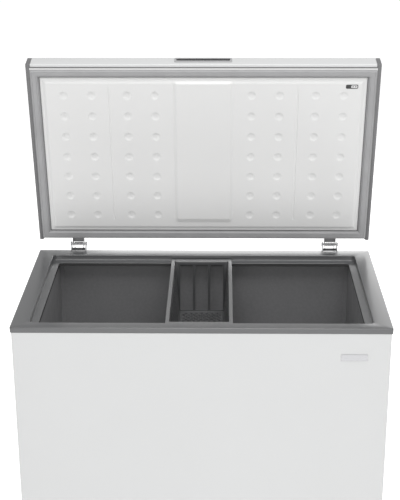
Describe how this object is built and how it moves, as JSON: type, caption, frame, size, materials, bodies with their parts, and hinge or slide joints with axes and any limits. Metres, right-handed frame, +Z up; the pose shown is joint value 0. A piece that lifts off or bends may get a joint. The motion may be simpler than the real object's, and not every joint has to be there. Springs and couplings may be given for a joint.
{
  "type": "chest freezer",
  "caption": "Chest freezer with a hinged foam-filled lid standing open, a dark lined cavity and a storage basket that slides on the ledge of its top frame.",
  "frame": {"origin": "on the floor, under the middle of the object's bounding box with the lid open", "axes": "+X to the user's right, +Y towards the back where the hinges are, +Z up"},
  "size_m": [1.298, 0.8232, 1.5439],
  "materials": {
    "white_steel": "satin",
    "galvanised_steel": "satin",
    "foam": "matte",
    "liner_sheet": "satin",
    "frame_plastic": "satin",
    "copper": "satin",
    "black_steel": "satin",
    "black_plastic": "matte",
    "black_rubber": "matte",
    "white_plastic": "satin",
    "lamp_lens": "gloss",
    "bright_steel": "polished",
    "roller_plastic": "matte",
    "hinge_steel": "satin",
    "gasket_rubber": "matte",
    "cap_plastic": "satin",
    "bezel_plastic": "satin",
    "basket_plastic": "satin"
  },
  "bodies": {
    "cabinet": {"outer_cabinet": "white_steel", "rear_panel": "galvanised_steel", "base_pan": "galvanised_steel", "cabinet_foam": "foam", "inner_liner": "liner_sheet", "top_frame": "frame_plastic", "machine_bay_panel": "galvanised_steel", "evaporator_coil": "copper", "condenser_coil": "copper", "compressor": "black_steel", "compressor_mounts": "black_rubber", "relay_cover": "black_plastic", "filter_drier": "copper", "refrigerant_pipes": "copper", "bay_cover": "white_plastic", "bay_cover_screws": "galvanised_steel", "cord_gland": "black_rubber", "side_grille": "white_plastic", "control_panel": "white_plastic", "indicator_lamps": "lamp_lens", "thermostat_body": "galvanised_steel", "thermostat_sensor": "copper", "drain_tube": "white_plastic", "front_feet": "black_rubber", "roller_brackets": "galvanised_steel", "roller_axles": "bright_steel", "hinge_bracket_left": "hinge_steel", "hinge_bracket_right": "hinge_steel", "hinge_pin_left": "bright_steel", "hinge_pin_right": "bright_steel", "hinge_springs": "bright_steel", "hinge_screws": "galvanised_steel", "front_badge": "bright_steel"},
    "lid": {"lid_skin": "white_steel", "lid_foam": "foam", "lid_liner": "white_plastic", "lid_gasket": "gasket_rubber", "lid_cap_left": "cap_plastic", "lid_cap_right": "cap_plastic", "handle_bezel": "bezel_plastic", "handle_cup": "black_plastic", "lid_label": "black_plastic", "hinge_leaf_left": "hinge_steel", "hinge_leaf_right": "hinge_steel", "leaf_screws": "galvanised_steel"},
    "basket": {"basket": "basket_plastic"},
    "knob": {"thermostat_spindle": "bright_steel", "thermostat_knob": "white_plastic"},
    "drain_cap": {"drain_cap": "white_plastic"},
    "drain_plug": {"drain_plug": "black_rubber"},
    "roller_left": {"roller_left": "roller_plastic"},
    "roller_right": {"roller_right": "roller_plastic"}
  },
  "joints": [
    {"name": "lid_hinge", "type": "hinge", "parent": "cabinet", "child": "lid", "pos_m": [0, 0.35336, 0.7826], "axis": [-1, 0, 0], "range_deg": [-80, 0], "stiffness_Nm_per_rad": 14, "springref_deg": 28.65},
    {"name": "basket_slide", "type": "slide", "parent": "cabinet", "child": "basket", "axis": [1, 0, 0], "range_m": [-0.442, 0.458]},
    {"name": "thermostat_turn", "type": "hinge", "parent": "cabinet", "child": "knob", "pos_m": [0.5805, -0.41064, 0.064], "axis": [0, 1, 0], "range_deg": [0, 270]},
    {"name": "drain_cap_pull", "type": "slide", "parent": "cabinet", "child": "drain_cap", "axis": [0, -1, 0], "range_m": [0, 0.04]},
    {"name": "drain_plug_lift", "type": "slide", "parent": "cabinet", "child": "drain_plug", "axis": [0, 0, 1], "range_m": [0, 0.05]},
    {"name": "roller_left_spin", "type": "hinge", "parent": "cabinet", "child": "roller_left", "pos_m": [-0.56, 0.27936, 0.014], "axis": [1, 0, 0], "continuous": true},
    {"name": "roller_right_spin", "type": "hinge", "parent": "cabinet", "child": "roller_right", "pos_m": [0.56, 0.27936, 0.014], "axis": [1, 0, 0], "continuous": true}
  ]
}
